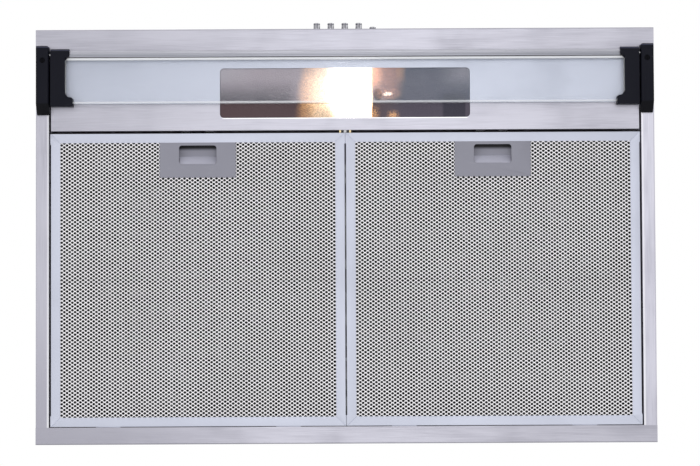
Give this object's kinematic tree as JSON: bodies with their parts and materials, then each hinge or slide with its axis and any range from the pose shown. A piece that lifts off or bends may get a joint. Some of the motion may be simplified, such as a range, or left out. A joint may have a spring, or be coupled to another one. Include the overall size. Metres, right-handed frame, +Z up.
{
  "type": "under cabinet range hood",
  "caption": "Low steel range hood for under a wall cabinet: hinged glass visor, lamp behind a frosted lens, mesh grease filters with finger latches, push buttons, blower and duct collar.",
  "frame": {"origin": "centre of the four cabinet screws on the top face", "axes": "+Z up out of the top face, +X along the width to the right seen from the front, +Y from the front to the wall"},
  "size_m": [0.758, 0.52, 0.1797],
  "materials": {
    "brushed_steel": "brushed",
    "bare_steel": "satin",
    "lens": "frosted, pebbled",
    "reflector": "white gloss",
    "porcelain": "glazed",
    "bulb_glass": "frosted, lit",
    "brass": "rolled thread",
    "black_plastic": "fine grain",
    "visor_glass": "polished",
    "trim_aluminium": "ribbed, satin",
    "chrome": "polished",
    "filter_aluminium": "satin",
    "mesh_aluminium": "woven",
    "grey_plastic": "fine grain",
    "galvanised": "zinc spangle",
    "wheel_plastic": "moulded",
    "motor_paint": "satin",
    "capacitor_plastic": "moulded",
    "duct_aluminium": "rolled"
  },
  "bodies": {
    "hood": {"top_panel": "brushed_steel", "front_panel": "brushed_steel", "rear_panel": "brushed_steel", "left_side_panel": "brushed_steel", "right_side_panel": "brushed_steel", "shell_rivets": "bare_steel", "light_panel": "brushed_steel", "lens": "lens", "lamp_housing": "reflector", "lamp_socket": "porcelain", "socket_clamp": "bare_steel", "lamp_bulb": "bulb_glass", "lamp_cap": "brass", "centre_clip": "bare_steel", "left_hinge_block": "black_plastic", "right_hinge_block": "black_plastic", "hinge_block_screws": "bare_steel", "button_bezel": "black_plastic", "switch_case": "black_plastic", "blower_case": "galvanised", "blower_cover": "galvanised", "outlet_ring": "galvanised", "inlet_ring": "galvanised", "motor": "motor_paint", "duct_collar": "duct_aluminium", "wiring_box": "galvanised", "wiring_cover": "galvanised", "cable_gland": "black_plastic", "capacitor": "capacitor_plastic", "capacitor_strap": "bare_steel"},
    "visor": {"visor_glass": "visor_glass", "visor_spine": "trim_aluminium", "left_visor_bracket": "black_plastic", "right_visor_bracket": "black_plastic", "visor_pins": "bare_steel"},
    "wheel": {"blower_wheel": "wheel_plastic", "motor_shaft": "bare_steel"},
    "front_flap": {"front_damper_flap": "duct_aluminium"},
    "rear_flap": {"rear_damper_flap": "duct_aluminium"},
    "fan_off_button": {"button_fan_off": "chrome"},
    "fan_low_button": {"button_fan_low": "chrome"},
    "fan_medium_button": {"button_fan_medium": "chrome"},
    "fan_high_button": {"button_fan_high": "chrome"},
    "light_button": {"button_light": "chrome"},
    "left_filter": {"left_filter_frame": "filter_aluminium", "left_filter_face": "filter_aluminium", "left_filter_pack": "mesh_aluminium", "left_filter_back": "filter_aluminium", "left_latch_case": "grey_plastic"},
    "left_latch": {"left_latch_slide": "grey_plastic"},
    "right_filter": {"right_filter_frame": "filter_aluminium", "right_filter_face": "filter_aluminium", "right_filter_pack": "mesh_aluminium", "right_filter_back": "filter_aluminium", "right_latch_case": "grey_plastic"},
    "right_latch": {"right_latch_slide": "grey_plastic"}
  },
  "joints": [
    {"name": "visor_hinge", "type": "hinge", "parent": "hood", "child": "visor", "pos_m": [0, -0.222, -0.1345], "axis": [-1, 0, 0], "range_deg": [0, 150]},
    {"name": "wheel_spin", "type": "hinge", "parent": "hood", "child": "wheel", "pos_m": [-0.103, -0.005, -0.04], "axis": [0, 0, 1], "continuous": true},
    {"name": "front_flap_hinge", "type": "hinge", "parent": "hood", "child": "front_flap", "pos_m": [0, 0.1608, 0.014], "axis": [-1, 0, 0], "range_deg": [0, 80]},
    {"name": "rear_flap_hinge", "type": "hinge", "parent": "hood", "child": "rear_flap", "pos_m": [0, 0.1668, 0.014], "axis": [1, 0, 0], "range_deg": [0, 80]},
    {"name": "fan_off_press", "type": "slide", "parent": "hood", "child": "fan_off_button", "axis": [0, 1, 0], "range_m": [0, 0.005], "stiffness_N_per_m": 300, "springref_m": -0.002},
    {"name": "fan_low_press", "type": "slide", "parent": "hood", "child": "fan_low_button", "axis": [0, 1, 0], "range_m": [0, 0.005], "stiffness_N_per_m": 300, "springref_m": -0.002},
    {"name": "fan_medium_press", "type": "slide", "parent": "hood", "child": "fan_medium_button", "axis": [0, 1, 0], "range_m": [0, 0.005], "stiffness_N_per_m": 300, "springref_m": -0.002},
    {"name": "fan_high_press", "type": "slide", "parent": "hood", "child": "fan_high_button", "axis": [0, 1, 0], "range_m": [0, 0.005], "stiffness_N_per_m": 300, "springref_m": -0.002},
    {"name": "light_press", "type": "slide", "parent": "hood", "child": "light_button", "axis": [0, 1, 0], "range_m": [-0.005, 0]},
    {"name": "left_filter_hinge", "type": "hinge", "parent": "hood", "child": "left_filter", "pos_m": [-0.18065, 0.233, -0.126], "axis": [1, 0, 0], "range_deg": [0, 75]},
    {"name": "left_latch_pull", "type": "slide", "parent": "left_filter", "child": "left_latch", "axis": [0, 1, 0], "range_m": [0, 0.005], "stiffness_N_per_m": 400, "springref_m": -0.003},
    {"name": "right_filter_hinge", "type": "hinge", "parent": "hood", "child": "right_filter", "pos_m": [0.18065, 0.233, -0.126], "axis": [1, 0, 0], "range_deg": [0, 75]},
    {"name": "right_latch_pull", "type": "slide", "parent": "right_filter", "child": "right_latch", "axis": [0, 1, 0], "range_m": [0, 0.005], "stiffness_N_per_m": 400, "springref_m": -0.003}
  ]
}
